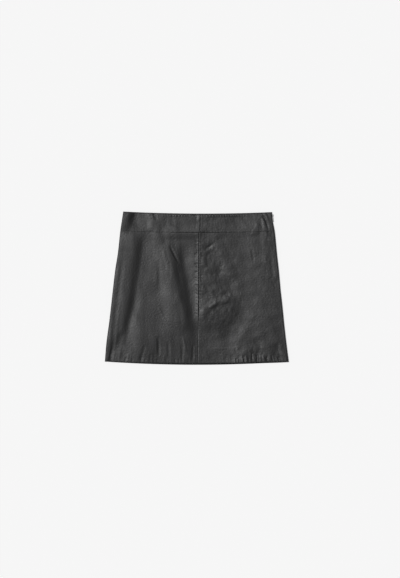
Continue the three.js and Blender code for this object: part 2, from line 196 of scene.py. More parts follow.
# Smaller creases of the front
CREASES = [
    Fold("waistband swell", (-116, 168), (-114, 156), (-116, 142), 11, 0.4),
    Fold("waistband nick", (-110, 190), (-104, 182), (-100, 168), 6, -0.4),
    Fold("dip beside the seam's top", (-5, 202), (-4, 190), (-4, 178), 12, -0.65),
    Fold("waistband slant", (-76, 160), (-62, 152), (-44, 146), 8, 0.3),
    Fold("sharp edge of the middle crest", (-68, 108), (-60, 88), (-44, 60), 4.5, -0.45),
    Fold("middle crest brow", (-84, 96), (-76, 70), (-70, 40), 7, 0.3),
    Fold("plateau streak", (-98, 70), (-92, 40), (-92, 5), 9, -0.35),
    Fold("left flank line", (-190, -30), (-197, -70), (-203, -142), 3.5, 0.4),
    Fold("left hem line", (-214, -142), (-218, -160), (-223, -182), 3, 0.35),
    Fold("lower left wave", (-96, -46), (-88, -66), (-72, -94), 5, 0.25),
    Fold("lower middle streak", (-34, -120), (-31, -140), (-27, -158), 4, 0.3),
    Fold("seam side trough", (18, 95), (28, 102), (44, 112), 6, -0.38),
    Fold("seam side bulge", (16, 84), (23, 90), (36, 96), 8, 0.22),
    Fold("upper right bump", (16, 78), (18, 66), (17, 52), 11, 0.4),
    Fold("middle right bump", (13, 8), (16, -4), (24, -10), 10, 0.35),
    Fold("right cushion", (62, 48), (82, 44), (94, 28), 21, 0.4),
    Fold("right bright spot", (30, -50), (40, -42), (52, -36), 6, 0.65),
    Fold("right pit", (46, 44), (54, 42), (60, 34), 12, -0.22),
    Fold("lower right pit", (62, -14), (72, -16), (80, -12), 10, -0.3),
    Fold("zip corner ridge", (168, 188), (179, 168), (187, 144), 5, 1.8),
    Fold("zip corner spot", (184, 160), (187, 148), (190, 132), 5.5, 1.1),
    Fold("zip corner second ridge", (164, 176), (173, 152), (174, 124), 6, 1.1),
    Fold("zip corner groove", (165, 186), (177, 166), (180, 136), 4, -0.9, 0.2, 9),
    Fold("zip corner second groove", (158, 176), (161, 160), (161, 128), 7, -0.4, 0.2, 14),
    Fold("waistband right streak", (139, 132), (144, 149), (156, 161), 18, 0.75, 0, 6.5),
    Fold("zip side trough", (184, 98), (186, 66), (190, 26), 6, -0.5),
    Fold("zip side line", (192, 96), (194, 60), (198, 20), 3.5, 0.3),
    Fold("side spot", (188, 18), (191, 12), (195, 2), 5, -0.45),
    Fold("upright streak", (164, 150), (168, 110), (172, 60), 7, 0.35),
    Fold("inner upright streak", (136, 98), (140, 84), (142, 62), 5, -0.25),
    Fold("right hem slant", (210, -136), (216, -158), (223, -190), 5, 1.5, 0.2, 12),
    Fold("right hem groove", (200, -132), (205, -158), (210, -196), 10, -0.95, 0.3, 26),
    Fold("right hem dip", (150, -120), (156, -146), (158, -186), 14, -0.35),
    Fold("hem streak bright", (18, -148), (22, -162), (29, -181), 4, 0.4),
    Fold("hem streak dark", (27, -150), (31, -164), (37, -180), 4, -0.45),
    Fold("hem streak left", (-130, -142), (-135, -162), (-144, -184), 6.5, -0.5),
    Fold("hem tuck at the left swell", (-98, -120), (-94, -142), (-96, -170), 6, -0.45),
    Fold("hem tuck in the middle", (-72, -132), (-71, -152), (-70, -176), 6, -0.3),
    Fold("hem tuck beside the seam", (-38, -138), (-35, -162), (-36, -186), 6, -0.35),
    Fold("hem tuck left of the seam", (-10, -140), (-9, -160), (-11, -186), 4.5, -0.35),
]

# Where the leather is slack and wrinkles more, as a share added to the rest
SLACK = [
    Fold("right of the seam", (24, 104), (56, 40), (70, -70), 70, 1.0),
    Fold("right hem", (110, -160), (160, -165), (216, -165), 34, 1.3),
    Fold("left hem", (-200, -150), (-175, -160), (-140, -165), 32, 0.9),
    Fold("middle crest", (-70, 80), (-60, -10), (-40, -110), 24, 0.5),
    Fold("zip side", (170, 120), (176, 60), (180, 0), 30, 0.5),
    Fold("waistband", (-120, 160), (0, 160), (150, 165), 26, 0.4),
]

# Soft troughs of the back, which stays flat where it rests
BACK_CREASES = [
    Fold("back left trough", (-120, 118), (-128, 10), (-176, -120), 10, 0.5),
    Fold("back middle trough", (-38, 96), (-20, 0), (-30, -130), 9, 0.4),
    Fold("back right trough", (96, 110), (112, 20), (150, -70), 11, 0.5),
    Fold("back right short trough", (60, -40), (78, -80), (70, -140), 8, 0.35),
    Fold("back hem tuck left", (-150, -150), (-154, -166), (-160, -182), 5, 0.3),
    Fold("back hem tuck middle", (14, -156), (18, -170), (20, -188), 5, 0.3),
    Fold("back hem tuck right", (128, -150), (134, -166), (138, -184), 5, 0.3),
    Fold("back seat hollow", (-10, 120), (6, 100), (30, 84), 8, 0.35),
]

# A fold's curve is measured along this many straight pieces
FOLD_STEPS = 10

# Uneven swells of the leather: their shortest and longest wave, and how many waves
SWELLS = {
    "wide": (26, 60, 28),
    "fine": (10, 24, 44),
    "finest": (5, 9, 48),
    "wrinkles": (14, 34, 36),
    "ridge": (14, 60, 12),
}

# Their heights: slack leather adds to the fine ones, and has wrinkles
SWELL_HEIGHTS = {"wide": 0.9, "fine": 0.2, "slack": 0.45, "finest": 0.24, "wrinkles": 0.35}
USUAL_SLACK = 0.5

# On the viewer's left the folds draw the leather's swells out along the skirt
DRAWN = {"share": 0.4, "across": (-60, 20)}

# Where each kind of random draw starts
SEEDS = {"hem": 3, "seam": 4, "waist": 5, "front": 11, "ridge": 21, "back": 31, "inside": 41}
DRAWN_SEED = 51

# Short pulls at the hem, slanting ones beside the centre seam and dimples of the waist stitching
HEM_PULLS = {
    "reach": 222.0,
    "step": (6, 15),
    "closer": 0.55,
    "height": (9, 26),
    "lean": (-3, 3),
    "outwards": 60,
    "half": (1.9, 3.4),
    "broader": 1.4,
    "raised": 0.4,
    "share": (0.35, 1.0),
    "strength": (0.8, 2.6),
    "left strength": 0.8,
    "foot": 2,
}
HEM_PULL_PLACES = {"right": (50, 120), "left": (-212, -196), "left end": (-180, -140)}
SEAM_PULLS = {
    "from": 56.0,
    "to": 330,
    "step": (4.5, 9.5),
    "aside": 1.5,
    "shift": (-2, 2),
    "reach": (4, 9),
    "deepest": 135,
    "fall": 140,
    "share": (0.3, 1.1),
    "depth": (0.35, 1.2),
    "slope": (0.3, 0.9),
    "sag": 0.6,
    "half": (1.6, 2.6),
}
WAIST_DIMPLES = {
    "from": -178.0,
    "to": 180,
    "step": (5.2, 8.2),
    "strongest": ((66, 62, 1), (-48, 34, 0.5)),
    "share": (0.2, 0.6),
    "strength": (1.6, 3.2),
    "below": 8.0,
    "shift": (-0.8, 0.8),
    "length": 4.0,
    "half": 3.3,
}

# The pressed allowance beside the centre seam: half widths, heights and how flat it ends
SEAM_RIDGE = {
    "left": 9.5,
    "narrower": 2,
    "right": 9,
    "least": 0.35,
    "top": 1.35,
    "middle": 0.4,
    "fall": 0.2,
    "flattened": 0.88,
    "power": 1.1,
    "uneven": 0.12,
}
SEAM_RIDGE_PLACES = {"top": (8, 22), "middle": (92, 116), "end": (232, 262)}

# Seams and turned edges
SEAM_DITCH = {"left": 0.7, "right": 2.0, "depth": 0.85, "shallow": 0.3, "runs out": (235, 280)}
HEM_EDGE = {"half": 2.6, "step": 0.15, "least": 0.3, "centre": 68, "reach": 50}
EDGE_ROUND = {"width": 2.0, "drop": 1.15}
EDGE_ROLLS = ((66, 52, 3.4), (-62, 34, 2.4))
HEM_ROLL = {"width": 6, "drop": 0.2}
SEAM_ROUND = {"width": 1.8, "drop": 0.32}
SEAM_SHOWS = {"half": 104, "least": 0.1}
STITCH_DENT = {"half": 1.5, "front": 0.3, "back": 0.35}
BACK_FORM = {"swells": 0.12, "rounding": 0.35, "most": 0.8, "inside": 0.1}

# Rows and columns crowd towards turned edges: over which width, and in how many steps
CROWDED = {"waist": (6, 9), "waist seam": (3, 4), "hem": (3, 6), "centre seam": (8, 9)}
CROWDING = 1.6

# Leather is painted paler where it stands this high over the cells within reach: partly wear from
# rubbing, partly a painted highlight on crests and ridges
RUBBED_AND_HIGHLIGHTED = {"reach": 7, "proud": 0.35}

# Stitches start this far from the sides, and zip teeth lie behind the side seam
STITCH_MARGIN = 5
TOOTH = {"radius": 0.35, "length": 1.6, "bevel": 0.12, "aside": 3.6, "first": 1.5}
ZIP_WAIST_X = 188.0

# Height in metres from which rays look down for a surface
RAY_START = 0.05


def length(name, description, millimetres):
    return bpy.props.FloatProperty(
        name=name, description=description, default=millimetres * MM, unit="LENGTH"
    )


def colour(name, description, default):
    return bpy.props.FloatVectorProperty(
        name=name, description=description, subtype="COLOR", default=default, min=0, max=1
    )


class SkirtSizes(bpy.types.PropertyGroup):
    """Sizes of what is added to the cut."""

    cell: length("Front cell", "Spacing of the vertices on the front's leather", 1.45)
    back_cell: length("Back cell", "Spacing of the vertices on the back's leather", 2.4)
    mottle: length("Mottle height", "Height of the small uneven swells in the leather", 0.088)
    pucker: length("Pucker depth", "Depth of the pulls beside seams and at the hem", 0.3)
    stitch_length: length("Stitch length", "Length of one stitch that shows", 3.1)
    stitch_pitch: length("Stitch pitch", "Distance from one stitch to the next", 4.2)
    stitch_width: length("Thread width", "Thickness of the sewing thread", 0.42)
    stitch_inset: length("Stitch inset", "Distance of the stitching from the waist edge", 3.0)
    tooth_pitch: length("Zip pitch", "Distance from one zip tooth to the next", 1.2)


class SkirtColours(bpy.types.PropertyGroup):
    """Colours and finishes."""

    leather: colour("Leather", "Colour of the dyed leather", (0.0165, 0.0165, 0.0171))
    # Paler leather where it stands proud: partly wear from rubbing, partly a painted highlight
    rubbed_and_highlighted: colour("Rubbed leather", "Colour of leather that is rubbed", (0.045, 0.045, 0.046))
    # The flesh side's dark colour: partly its own dye, partly painted shade where it shows under
    # the front's hem and inside the waist opening
    suede_with_painted_shade: colour("Flesh side", "Colour of the leather's inside", (0.009, 0.009, 0.0095))
    thread: colour("Thread", "Colour of the sewing thread", (0.03, 0.03, 0.031))
    metal: colour("Zip lacquer", "Colour of the lacquered slider and pull", (0.012, 0.012, 0.013))
    tape: colour("Zip tape", "Colour of the woven zip tape", (0.011, 0.011, 0.012))
    floor: colour("Floor", "Colour of the pale surface", (0.9, 0.9, 0.9))


# Shape functions, in millimetres on arrays


def bump(share):
    return np.where(np.abs(share) < 1, (1 - share**2) ** 2, 0.0)


def smoothstep(low, high, value):
    t = np.clip((value - low) / (high - low), 0, 1)
    return t * t * (3 - 2 * t)


def mix(a, b, t):
    return a + (b - a) * t


def read(rows, column, below):
    """A table's column between its rows, along a curve without corners."""
    keys = np.array([row.below for row in rows], float)
    values = np.array([getattr(row, column) for row in rows], float)
    slopes = np.empty_like(values)
    slopes[1:-1] = (values[2:] - values[:-2]) / (keys[2:] - keys[:-2])
    slopes[0] = (values[1] - values[0]) / (keys[1] - keys[0])
    slopes[-1] = (values[-1] - values[-2]) / (keys[-1] - keys[-2])
    i = np.clip(np.searchsorted(keys, below, side="right") - 1, 0, len(keys) - 2)
    step = keys[i + 1] - keys[i]
    t = np.clip((below - keys[i]) / step, 0, 1)
    start = (1 + 2 * t) * (1 - t) ** 2 * values[i] + t * (1 - t) ** 2 * step * slopes[i]
    end = t * t * (3 - 2 * t) * values[i + 1] - t * t * (1 - t) * step * slopes[i + 1]
    return start + end


def waist_edge(x):
    share = x / WAIST_EDGE["half_width"]
    return WAIST_EDGE["y"] + WAIST_EDGE["curve"] * share**2 + WAIST_EDGE["tilt"] * share


def back_hem(x):
    drop = BACK_HEM["right_drop"] * smoothstep(BACK_HEM["right_from"], BACK_HEM["half_width"], x)
    return BACK_HEM["y"] + BACK_HEM["curve"] * (x / BACK_HEM["half_width"]) ** 2 - drop


def front_hem(x):
    power = np.where(x < 0, FRONT_HEM_LIFT["left_power"], FRONT_HEM_LIFT["right_power"])
    towards_side = np.minimum(np.abs(x / BACK_HEM["half_width"]), 1) ** power
    lift = mix(FRONT_HEM_LIFT["middle"], FRONT_HEM_LIFT["side"], towards_side)
    return back_hem(x) + lift


def line_at(x, below, hem):
    return mix(waist_edge(x), hem(x), below / LENGTH)


def side_x(side, below):
    if side < 0:
        return -read(SECTIONS, "left", below)
    return read(SECTIONS, "right", below)


def level_at(band, below):
    if band:
        return np.full_like(below, WAISTBAND_HEIGHT)
    return read(PANEL_LEVELS, "height", below)


def thickness_at(band, below):
    if band:
        return np.full_like(below, WAISTBAND)
    edge = LENGTH - TURN_UP
    turned = smoothstep(edge - TURN_UP_FADE / 2, edge + TURN_UP_FADE / 2, below)
    return mix(LEATHER, HEM, turned)


def side_gap(side, below):
    if side < 0:
        return np.full_like(below, SEAM_GAP)
    closed = smoothstep(ZIP_LENGTH, ZIP_LENGTH + ZIP_FADE, below)
    return mix(ZIP_GAP, SEAM_GAP, closed)


def seam_x(band, below):
    if band:
        return np.full_like(below, WAISTBAND_SEAM_X)
    return read(PANEL_SEAM, "x", below)


def fold_height(folds, x, y, tapered=False):
    """The sum of the folds at each point. A tapered one runs out towards both ends."""
    total = np.zeros_like(x)
    steps = np.linspace(0, 1, FOLD_STEPS + 1)[:, None]
    for fold in folds:
        corners = np.array([fold.start, fold.by, fold.end], float)
        widest = max(fold.half, fold.west)
        low, high = corners.min(0) - widest, corners.max(0) + widest
        inside = (x > low[0]) & (x < high[0]) & (y > low[1]) & (y < high[1])
        if not inside.any():
            continue
        px, py = x[inside], y[inside]
        curve = (1 - steps) ** 2 * corners[0] + 2 * steps * (1 - steps) * corners[1]
        curve = curve + steps**2 * corners[2]
        nearest = np.full_like(px, np.inf)
        share = np.zeros_like(px)
        is_west = np.zeros(px.shape, bool)
        for i in range(FOLD_STEPS):
            along = curve[i + 1] - curve[i]
            t = ((px - curve[i][0]) * along[0] + (py - curve[i][1]) * along[1]) / (along @ along)
            t = np.clip(t, 0, 1)
            across = px - curve[i][0] - t * along[0]
            away = np.hypot(across, py - curve[i][1] - t * along[1])
            closer = away < nearest
            nearest = np.where(closer, away, nearest)
            share = np.where(closer, (i + t) / FOLD_STEPS, share)
            is_west = np.where(closer, across < 0, is_west)
        half = np.where(is_west, fold.west or fold.half, fold.half)
        rise = fold.rise * bump(nearest / half)
        if tapered:
            rise = rise * (1 - np.abs(2 * share - 1) ** 3)
        if fold.fade:
            rise = rise * smoothstep(0, fold.fade, share)
        if fold.tail:
            rise = rise * smoothstep(0, fold.tail, 1 - share)
        total[inside] += rise
    return total


def waves(x, y, seed, shortest, longest, count):
    """Soft uneven swells: a sum of waves in all directions, about 1 high."""
    rng = np.random.default_rng(seed)
    angle = rng.uniform(0, math.pi, count)
    number = 2 * math.pi / rng.uniform(shortest, longest, count)
    phase = rng.uniform(0, 2 * math.pi, count)
    total = np.zeros_like(x)
    for a, k, p in zip(angle, number, phase):
        total += np.sin(k * (x * math.cos(a) + y * math.sin(a)) + p)
    return total * math.sqrt(2 / count)


def mottle(x, y, seed, slack=USUAL_SLACK, drawn=1.0):
    """Soft swells of two sizes, with finer wrinkles where the leather is slack.

    drawn under 1 draws the swells out along the skirt.
    """
    share = SWELL_HEIGHTS
    wide = waves(x, drawn * y, seed, *SWELLS["wide"])
    fine = waves(x, drawn * y, seed + 1, *SWELLS["fine"])
    finest = waves(x, y, seed + 2, *SWELLS["finest"])
    wrinkles = -np.abs(waves(x, y, seed + 3, *SWELLS["wrinkles"]))
    soft = share["wide"] * wide + (share["fine"] + share["slack"] * slack) * fine
    return soft + share["finest"] * finest + share["wrinkles"] * slack * wrinkles


def hem_puckers(depth):
    """Short pulls up from the hem edge, closer and deeper towards the viewer's right."""
    form, places = HEM_PULLS, HEM_PULL_PLACES
    rng = np.random.default_rng(SEEDS["hem"])
    pulls = []
    x = -form["reach"]
    while x < form["reach"]:
        right = float(smoothstep(*places["right"], x))
        left = float(smoothstep(*places["left"], x) - smoothstep(*places["left end"], x))
        x += rng.uniform(*form["step"]) * mix(1, form["closer"], right)
        foot = float(front_hem(x))
        height = rng.uniform(*form["height"])
        lean = rng.uniform(*form["lean"]) + x / form["outwards"]
        half = rng.uniform(*form["half"]) * mix(form["broader"], 1, right)
        sign = rng.choice([-1.0, 1.0], p=[1 - form["raised"], form["raised"]])
        strength = mix(*form["strength"], max(right, form["left strength"] * left))
        rise = sign * depth * rng.uniform(*form["share"]) * strength
        middle = (x - lean / 2 + rng.uniform(-1, 1), foot + height / 2)
        start, end = (x, foot - form["foot"]), (x - lean, foot + height)
        pulls.append(Fold("hem pull", start, middle, end, half, rise))
    return pulls


def seam_puckers(depth):
    """Small slanting pulls on both sides of the centre seam, deepest at mid length."""
    form = SEAM_PULLS
    rng = np.random.default_rng(SEEDS["seam"])
    pulls = []
    below = form["from"]
    while below < form["to"]:
        below += rng.uniform(*form["step"])
        for side in (-1, 1):
            x = float(seam_x(False, np.array(below))) + side * form["aside"]
            y = float(line_at(x, below, front_hem)) + rng.uniform(*form["shift"])
            reach = rng.uniform(*form["reach"])
            middle = 1 - min(abs(below - form["deepest"]) / form["fall"], 1)
            least, more = form["depth"]
            rise = -depth * rng.uniform(*form["share"]) * (least + more * middle)
            end = (x + side * reach, y - side * rng.uniform(*form["slope"]) * reach)
            by = ((x + end[0]) / 2, (y + end[1]) / 2 + form["sag"])
            pulls.append(Fold("seam pull", (x, y), by, end, rng.uniform(*form["half"]), rise))
    return pulls


def waist_puckers(depth):
    """Dimples between the edge stitches, uneven along the waist."""
    form = WAIST_DIMPLES
    rng = np.random.default_rng(SEEDS["waist"])
    pulls = []
    x = form["from"]
    while x < form["to"]:
        x += rng.uniform(*form["step"])
        strong = sum(share * bump((x - centre) / half) for centre, half, share in form["strongest"])
        rise = depth * rng.uniform(*form["share"])
        rise = rise + depth * float(strong) * rng.uniform(*form["strength"])
        y = float(waist_edge(x)) - form["below"]
        top = (x + rng.uniform(*form["shift"]), y + form["length"])
        middle = (x, y + form["length"] / 2)
        pulls.append(Fold("waist dimple", (x, y), middle, top, form["half"], rise))
    return pulls


def edge_drop(inset, shape, wider=0.0):
    """How far a turned edge has rounded down at a distance from its end."""
    t = np.clip(inset / (shape["width"] + wider), 0, 1)
    return shape["drop"] * (1 - np.sqrt(1 - (1 - t) ** 2))


def waist_roll(x):
    """How much wider the waist edge rolls over where it is fullest."""
    return sum(wider * bump((x - centre) / half) for centre, half, wider in EDGE_ROLLS)


def seam_shows(x):
    """The waist seam is deepest near the centre, and pressed almost flat towards the sides."""
    return mix(SEAM_SHOWS["least"], 1, bump(x / SEAM_SHOWS["half"]))


def to_turned_edge(band, below):
    """Distance to the waist edge on a waistband, and to the hem on a panel."""
    return below if band else LENGTH - below


def to_waist_seam(band, below):
    return WAISTBAND_DEPTH - below if band else below - WAISTBAND_DEPTH


def side_calm(reach, x, below):
    """0 at the side edges and 1 further in: reach is where it starts and ends."""
    to_side = np.minimum(x - side_x(-1, below), side_x(1, below) - x)
    return smoothstep(*SIDE_CALM[reach], to_side)


# Meshes


def spaced(low, high, step):
    count = max(int(round((high - low) / step)), 1)
    return np.linspace(low, high, count + 1)


def toward_edge(start, width, steps, sign):
    """Places that crowd towards a turned edge at start."""
    return start + sign * width * np.linspace(0, 1, steps + 1) ** CROWDING


def rows_of(band, cell):
    """Distances below the waist for the rows of a wall, closest at its two edges."""
    if band:
        low, high = 0, WAISTBAND_DEPTH - SEAM_GAP / 2
        edges = ("waist", "waist seam")
    else:
        low, high = WAISTBAND_DEPTH + SEAM_GAP / 2, LENGTH
        edges = ("waist seam", "hem")
    first = toward_edge(low, *CROWDED[edges[0]], 1)
    last = toward_edge(high, *CROWDED[edges[1]], -1)
    field = spaced(first[-1], last[-1], cell)
    return np.unique(np.round(np.concatenate([first, field, last]), 4))


def wall_mesh(name, outer, inner, flip):
    """A closed wall from two grids of points in millimetres. flip turns the faces over."""
    rows, columns = outer.shape[:2]
    vertices = np.concatenate([outer.reshape(-1, 3), inner.reshape(-1, 3)]) * MM
    index = np.arange(rows * columns).reshape(rows, columns)
    below = index + rows * columns

    def quads(a, b, c, d):
        return np.stack([a, b, c, d], -1).reshape(-1, 4)

    shell = quads(index[:-1, :-1], index[1:, :-1], index[1:, 1:], index[:-1, 1:])
    lining = quads(below[:-1, :-1], below[:-1, 1:], below[1:, 1:], below[1:, :-1])
    ring = np.concatenate([index[0, :-1], index[:-1, -1], index[-1, :0:-1], index[:0:-1, 0]])
    following = np.roll(ring, -1)
    rim = quads(ring, following, following + rows * columns, ring + rows * columns)
    faces = np.concatenate([shell, lining, rim])
    if flip:
        faces = faces[:, ::-1]
    slots = np.zeros(len(faces), np.int32)
    slots[len(shell) : len(shell) + len(lining)] = 1
    mesh = smooth_mesh(name, vertices, faces.tolist())
    mesh.polygons.foreach_set("material_index", slots)
    return mesh


def smooth_mesh(name, vertices, faces):
    mesh = bpy.data.meshes.new(name)
    mesh.from_pydata(vertices.tolist(), [], faces)
    mesh.polygons.foreach_set("use_smooth", np.ones(len(faces), bool))
    mesh.update()
    return mesh


def blurred(heights, reach):
    """The grid of heights, smoothed over a number of cells."""
    for axis in (0, 1):
        pad = [(0, 0), (0, 0)]
        pad[axis] = (reach, reach)
        wide = np.pad(heights, pad, mode="edge")
        windows = np.lib.stride_tricks.sliding_window_view(wide, 2 * reach + 1, axis)
        heights = windows.mean(-1)
    return heights


def mark_rubbed_and_highlighted(mesh, heights):
    """Stores where the leather stands proud of its surroundings, from 0 to 1: the mask of its paler
    colour, partly wear from rubbing and partly a painted highlight.
    """
    proud = heights - blurred(heights, RUBBED_AND_HIGHLIGHTED["reach"])
    rubbed_and_highlighted = np.clip(proud / RUBBED_AND_HIGHLIGHTED["proud"], 0, 1).ravel()
    attribute = mesh.attributes.new("rubbed_and_highlighted", "FLOAT", "POINT")
    values = np.concatenate([rubbed_and_highlighted, np.zeros_like(rubbed_and_highlighted)]).astype(np.float32)
    attribute.data.foreach_set("value", values)


def roll(side, below, turns, depth, wall_z, seam_z, hem):
    """Points of a rolled side edge: turn 0 is the seam at mid height, a right angle the wall."""
    radius = ROLL_RADIUS - depth
    x = side_x(side, below) - side * (depth + radius * (1 - np.cos(turns)))
    z = mix(seam_z, wall_z, np.sin(turns))
    return np.stack([x, line_at(x, below, hem), z + np.zeros_like(x)], -1)


def front_relief(band, x, y, below, sizes):
    """Height of the folds, creases and pulls of the front over its level."""
    depth = sizes.pucker / MM
    pulls = waist_puckers(depth) if band else hem_puckers(depth) + seam_puckers(depth)
    small = fold_height(CREASES, x, y, tapered=True) + fold_height(pulls, x, y, tapered=True)
    return fold_height(FOLDS, x, y) + side_calm("front", x, below) * small


def unevenness(x, y, below, sizes):
    """The mottle of the front, which runs out towards its sides."""
    slack = fold_height(SLACK, x, y)
    drawn = mottle(x, y, DRAWN_SEED, slack, DRAWN["share"])
    swells = mix(drawn, mottle(x, y, SEEDS["front"], slack), smoothstep(*DRAWN["across"], x))
    return side_calm("front", x, below) * swells * sizes.mottle / MM


def held(relief, band, below):
    """The relief, kept softly between the back piece and the skirt's full height."""
    level = level_at(band, below)
    wall = WAISTBAND if band else mix(LEATHER, HEM, smoothstep(HEM_NEARS, LENGTH - TURN_UP, below))
    room = np.where(relief < 0, level - LEAST_GAP - 2 * wall, FOLD_TOP - level)
    return level + relief / (1 + (np.abs(relief) / room) ** LIMIT_POWER) ** (1 / LIMIT_POWER)


def seam_ridge(side, to_seam, below):
    """The pressed seam allowance under the leather: it lies to the viewer's left of the seam."""
    form, places = SEAM_RIDGE, SEAM_RIDGE_PLACES
    ended = smoothstep(*places["end"], below)
    if side > 0:
        return form["fall"] * (1 - ended) * bump(to_seam / form["right"])
    top = 1 - smoothstep(*places["top"], below)
    rise = form["least"] + form["top"] * top
    rise = rise + form["middle"] * smoothstep(*places["middle"], below)
    near = np.clip(1 - to_seam / (form["left"] - form["narrower"] * top), 0, 1)
    return rise * (1 - form["flattened"] * ended) * near ** form["power"]


def seam_ditch(side, to_seam, below):
    """The groove that the centre seam pulls into the leather."""
    width = SEAM_DITCH["left"] if side < 0 else SEAM_DITCH["right"]
    shallow = mix(1, SEAM_DITCH["shallow"], smoothstep(*SEAM_DITCH["runs out"], below))
    return SEAM_DITCH["depth"] * shallow * bump(to_seam / width)


def edges_lowered(height, band, x, below, sizes):
    """The front's outer face, lower at its turned edge, the waist seam and the stitching."""
    to_edge = to_turned_edge(band, below)
    height = height - edge_drop(to_edge, EDGE_ROUND, waist_roll(x) if band else 0)
    height = height - seam_shows(x) * edge_drop(to_waist_seam(band, below), SEAM_ROUND)
    if band:
        stitch = (below - sizes.stitch_inset / MM) / STITCH_DENT["half"]
        return height - STITCH_DENT["front"] * bump(stitch)
    height = height - HEM_ROLL["drop"] * np.clip(1 - to_edge / HEM_ROLL["width"], 0, 1) ** 2
    shows = HEM_EDGE["least"] + bump((x - HEM_EDGE["centre"]) / HEM_EDGE["reach"])
    turned = smoothstep(-HEM_EDGE["half"], HEM_EDGE["half"], TURN_UP - to_edge)
    return height + HEM_EDGE["step"] * shows * turned


def front_wall(side, band, sizes):
    """Outer and inner points of one front piece, from its rolled side to the centre seam."""
    cell = sizes.cell / MM
    below = rows_of(band, cell)[:, None]
    turns = np.linspace(0, math.pi / 2, ROLL_STEPS)[None, :]
    thickness = thickness_at(band, below)
    seam_z = (level_at(band, below) + side_gap(side, below)) / 2
    start = side_x(side, below) - side * ROLL_RADIUS
    start_y = line_at(start, below, front_hem)
    rim = held(front_relief(band, start, start_y, below, sizes), band, below)
    outer_z = rim - edge_drop(to_turned_edge(band, below), EDGE_ROUND)
    inner_z = np.maximum(rim - thickness, seam_z)
    outer_roll = roll(side, below, turns, 0, outer_z, seam_z, front_hem)
    inner_roll = roll(side, below, turns, thickness, inner_z, seam_z, front_hem)

    seam = seam_x(band, below)
    near_seam = toward_edge(SEAM_GAP / 2, *CROWDED["centre seam"], 1)[::-1]
    width = float(np.abs(start - seam).max()) - near_seam[0]
    share = np.linspace(0, 1, int(width / cell) + 1)[1:-1][None, :]
    field = mix(start, seam + side * near_seam[0], share)
    x = np.concatenate([field, seam + side * near_seam[None, :]], 1)
    below = np.broadcast_to(below, x.shape).copy()
    y = line_at(x, below, front_hem)
    to_seam = np.abs(x - seam)
    relief = front_relief(band, x, y, below, sizes)
    uneven = waves(below, np.zeros_like(below), SEEDS["ridge"] + side, *SWELLS["ridge"])
    ridge = seam_ridge(side, to_seam, below) * (1 + SEAM_RIDGE["uneven"] * uneven)
    height = held(relief + ridge, band, below) + unevenness(x, y, below, sizes)
    height = np.minimum(height, LEATHER_TOP) - seam_ditch(side, to_seam, below)
    height = edges_lowered(height, band, x, below, sizes)
    inner_height = held(relief, band, below) - thickness
    outer = np.concatenate([outer_roll, np.stack([x, y, height], -1)], 1)
    inner = np.concatenate([inner_roll, np.stack([x, y, inner_height], -1)], 1)
    return outer, inner


def back_wall(band, sizes):
    """Outer and inner points of a back piece: flat on the surface, rolled up at both sides."""
    cell = sizes.back_cell / MM
    below = rows_of(band, cell)[:, None]
    turns = np.linspace(0, math.pi / 2, ROLL_STEPS)[None, :]
    thickness = thickness_at(band, below)
    edge = edge_drop(to_turned_edge(band, below), EDGE_ROUND)
    seam = edge_drop(to_waist_seam(band, below), SEAM_ROUND)
    outer_rolls, inner_rolls = [], []
    for side in (-1, 1):
        way = turns[:, ::-side]
        seam_z = (level_at(band, below) - side_gap(side, below)) / 2
        inner_z = np.minimum(thickness, seam_z) - edge / 2
        outer_rolls.append(roll(side, below, way, 0, 0, seam_z, back_hem))
        inner_seam = seam_z - edge / 2
        inner_rolls.append(roll(side, below, way, thickness, inner_z, inner_seam, back_hem))
    start = side_x(-1, below) + ROLL_RADIUS
    end = side_x(1, below) - ROLL_RADIUS
    share = np.linspace(0, 1, int(float((end - start).max()) / cell) + 1)[1:-1][None, :]
    x = mix(start, end, share)
    below = np.broadcast_to(below, x.shape).copy()
    y = line_at(x, below, back_hem)
    calm = side_calm("back", x, below)
    swells = BACK_FORM["swells"] * np.maximum(mottle(x, y, SEEDS["back"]), 0)
    lift = calm * (fold_height(BACK_CREASES, x, y, tapered=True) + swells)
    outer_z = np.minimum(lift + BACK_FORM["rounding"] * (edge + seam), BACK_FORM["most"])
    if band:
        stitch = (below - sizes.stitch_inset / MM) / STITCH_DENT["half"]
        outer_z = outer_z + STITCH_DENT["back"] * bump(stitch)
    wrinkle = BACK_FORM["inside"] * calm * mottle(x, y, SEEDS["inside"])
    inner_z = thickness + wrinkle - edge / 2
    outer_field, inner_field = np.stack([x, y, outer_z], -1), np.stack([x, y, inner_z], -1)
    outer = np.concatenate([outer_rolls[0], outer_field, outer_rolls[1]], 1)
    inner = np.concatenate([inner_rolls[0], inner_field, inner_rolls[1]], 1)
    return outer, inner


def surface_height(name, x, y):
    """Height of a finished piece's top face under a point, in metres."""
    hit, place, *_ = bpy.data.objects[name].ray_cast((x, y, RAY_START), (0, 0, -1))
    if not hit:
        raise RuntimeError(f"{name} has no surface at {x:.4f}, {y:.4f}")
    return place.z


# Materials: the noises and parts of the leather's grain, and the waves of woven threads
WRINKLE_NOISE = {"Detail": 5, "Roughness": 0.62, "Distortion": 0.3}
CLOUD_NOISE = {"Scale": 34, "Detail": 4, "Roughness": 0.6}
GRAIN = {"middle": 0.5, "wrinkles": -3.0, "pebbles": -0.5, "pore": 0.55, "sharpness": 2.0}
WEAVE_WAVE = {"Distortion": 0.6, "Detail": 1}

# The angle that a wave texture of scale 1 turns through over a metre
WAVE_ANGLE = 20.0

# Between these the cloudy noise lies for the most part
CLOUD_RANGE = (0.3, 0.7)


def feed(tree, value, socket):
    """Gives a socket a value, or links it to the socket of another node."""
    if isinstance(value, bpy.types.NodeSocket):
        tree.links.new(value, socket)
    else:
        socket.default_value = value


